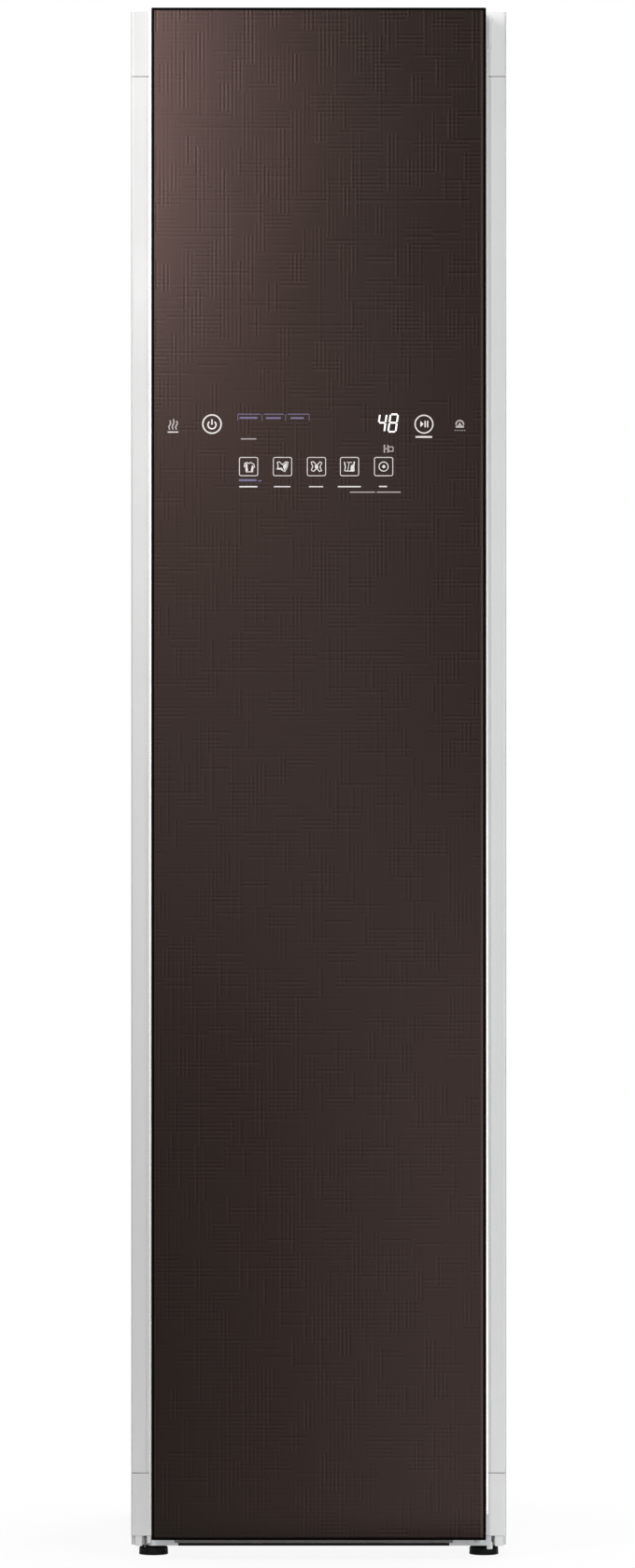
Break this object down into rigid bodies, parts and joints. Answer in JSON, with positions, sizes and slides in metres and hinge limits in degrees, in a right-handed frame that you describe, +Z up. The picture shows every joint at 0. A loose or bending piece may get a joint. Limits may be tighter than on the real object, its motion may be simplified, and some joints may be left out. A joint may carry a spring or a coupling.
{
  "type": "clothes care steam cabinet",
  "caption": "Tall slim garment steam cabinet with a dark glass door, hanging chamber, shaking hanger drive, trouser press, water tanks and heat pump base.",
  "frame": {"origin": "on the floor under the centre of the cabinet", "axes": "+Z up, +X to the right seen from the front, the door faces -Y"},
  "size_m": [0.45, 0.585, 1.85],
  "materials": {
    "steel_sheet": "satin",
    "pillar": "satin",
    "zinc": "satin",
    "dark_plastic": "matte",
    "liner": "satin",
    "pale_plastic": "matte",
    "lens": "gloss",
    "bright_steel": "polished",
    "foot_rubber": "matte",
    "grey_rubber": "matte",
    "grey_plastic": "matte",
    "tank": "gloss",
    "aluminium": "satin",
    "black_paint": "satin",
    "copper": "polished",
    "door_glass": "polished",
    "board": "satin",
    "press_cloth": "matte"
  },
  "bodies": {
    "cabinet": {"left_side_panel": "steel_sheet", "right_side_panel": "steel_sheet", "top_cover": "steel_sheet", "left_front_trim": "pillar", "right_front_trim": "pillar", "upper_front_frame": "pillar", "lower_front_frame": "pillar", "back_panel": "zinc", "base_frame": "zinc", "upper_hinge": "zinc", "lower_hinge": "zinc", "drive_tray": "zinc", "pulley_bridge": "zinc", "cable_inlet": "dark_plastic", "blower_housing": "dark_plastic", "water_pump": "dark_plastic", "drain_pump": "dark_plastic", "inner_liner": "liner", "ceiling_cover": "pale_plastic", "tank_bay": "pale_plastic", "scent_holder": "pale_plastic", "outlet_grille": "pale_plastic", "control_box": "pale_plastic", "lamp_lens": "lens", "guide_rail_front": "bright_steel", "guide_rail_back": "bright_steel", "drive_belt": "foot_rubber", "steam_hose": "grey_rubber", "fill_tank_cap": "grey_plastic", "drain_tank_cap": "grey_plastic", "steam_nozzle": "grey_plastic", "fill_tank": "tank", "drain_tank": "tank", "steam_generator": "aluminium", "evaporator": "aluminium", "condenser": "aluminium", "drive_motor": "black_paint", "blower_motor": "black_paint", "compressor": "black_paint", "suction_pipe": "copper", "delivery_pipe": "copper"},
    "door": {"door_glass": "door_glass", "door_frame": "dark_plastic", "door_liner": "liner", "door_gasket": "grey_rubber", "display_board": "board", "press_base": "pale_plastic"},
    "press": {"press_panel": "press_cloth"},
    "hanger": {"shake_yoke": "aluminium", "hanger_bar": "bright_steel"},
    "crank": {"crank_pulley": "grey_plastic"},
    "motor_wheel": {"motor_pulley": "bright_steel"},
    "impeller": {"blower_impeller": "grey_plastic"},
    "wire_shelf": {"shelf": "bright_steel"},
    "filter": {"lint_filter": "grey_plastic"},
    "flap": {"scent_flap": "grey_plastic"},
    "foot_front_left_body": {"foot_front_left": "foot_rubber"},
    "foot_front_right_body": {"foot_front_right": "foot_rubber"},
    "foot_back_left_body": {"foot_back_left": "foot_rubber"},
    "foot_back_right_body": {"foot_back_right": "foot_rubber"}
  },
  "joints": [
    {"name": "door_hinge", "type": "hinge", "parent": "cabinet", "child": "door", "pos_m": [0.193, -0.27, 0.937], "axis": [0, 0, 1], "range_deg": [0, 110]},
    {"name": "press_hinge", "type": "hinge", "parent": "door", "child": "press", "pos_m": [0.124, -0.217, 1.03], "axis": [0, 0, -1], "range_deg": [0, 90]},
    {"name": "hanger_shake", "type": "slide", "parent": "cabinet", "child": "hanger", "axis": [1, 0, 0], "range_m": [-0.02, 0.02]},
    {"name": "crank_turn", "type": "hinge", "parent": "cabinet", "child": "crank", "pos_m": [0, 0.01, 1.8], "axis": [0, 0, 1], "continuous": true},
    {"name": "motor_turn", "type": "hinge", "parent": "cabinet", "child": "motor_wheel", "pos_m": [0.112, 0.098, 1.8], "axis": [0, 0, 1], "continuous": true},
    {"name": "blower_spin", "type": "hinge", "parent": "cabinet", "child": "impeller", "pos_m": [0.095, 0.197, 0.142], "axis": [0, 1, 0], "continuous": true},
    {"name": "shelf_lift", "type": "slide", "parent": "cabinet", "child": "wire_shelf", "axis": [0, 0, 1], "range_m": [0, 0.06]},
    {"name": "filter_lift", "type": "slide", "parent": "cabinet", "child": "filter", "axis": [0, 0, 1], "range_m": [0, 0.07]},
    {"name": "flap_hinge", "type": "hinge", "parent": "cabinet", "child": "flap", "pos_m": [0.065, -0.0305, 0.3277], "axis": [-1, 0, 0], "range_deg": [0, 80]},
    {"name": "foot_front_left_screw", "type": "hinge", "parent": "cabinet", "child": "foot_front_left_body", "pos_m": [-0.1985, -0.218, 0.02], "axis": [0, 0, 1], "continuous": true},
    {"name": "foot_front_right_screw", "type": "hinge", "parent": "cabinet", "child": "foot_front_right_body", "pos_m": [0.1985, -0.218, 0.02], "axis": [0, 0, 1], "continuous": true},
    {"name": "foot_back_left_screw", "type": "hinge", "parent": "cabinet", "child": "foot_back_left_body", "pos_m": [-0.1985, 0.2575, 0.02], "axis": [0, 0, 1], "continuous": true},
    {"name": "foot_back_right_screw", "type": "hinge", "parent": "cabinet", "child": "foot_back_right_body", "pos_m": [0.1985, 0.2575, 0.02], "axis": [0, 0, 1], "continuous": true}
  ],
  "couplings": [
    {"joint": "motor_turn", "follows": "crank_turn", "ratio": 2.7143}
  ]
}
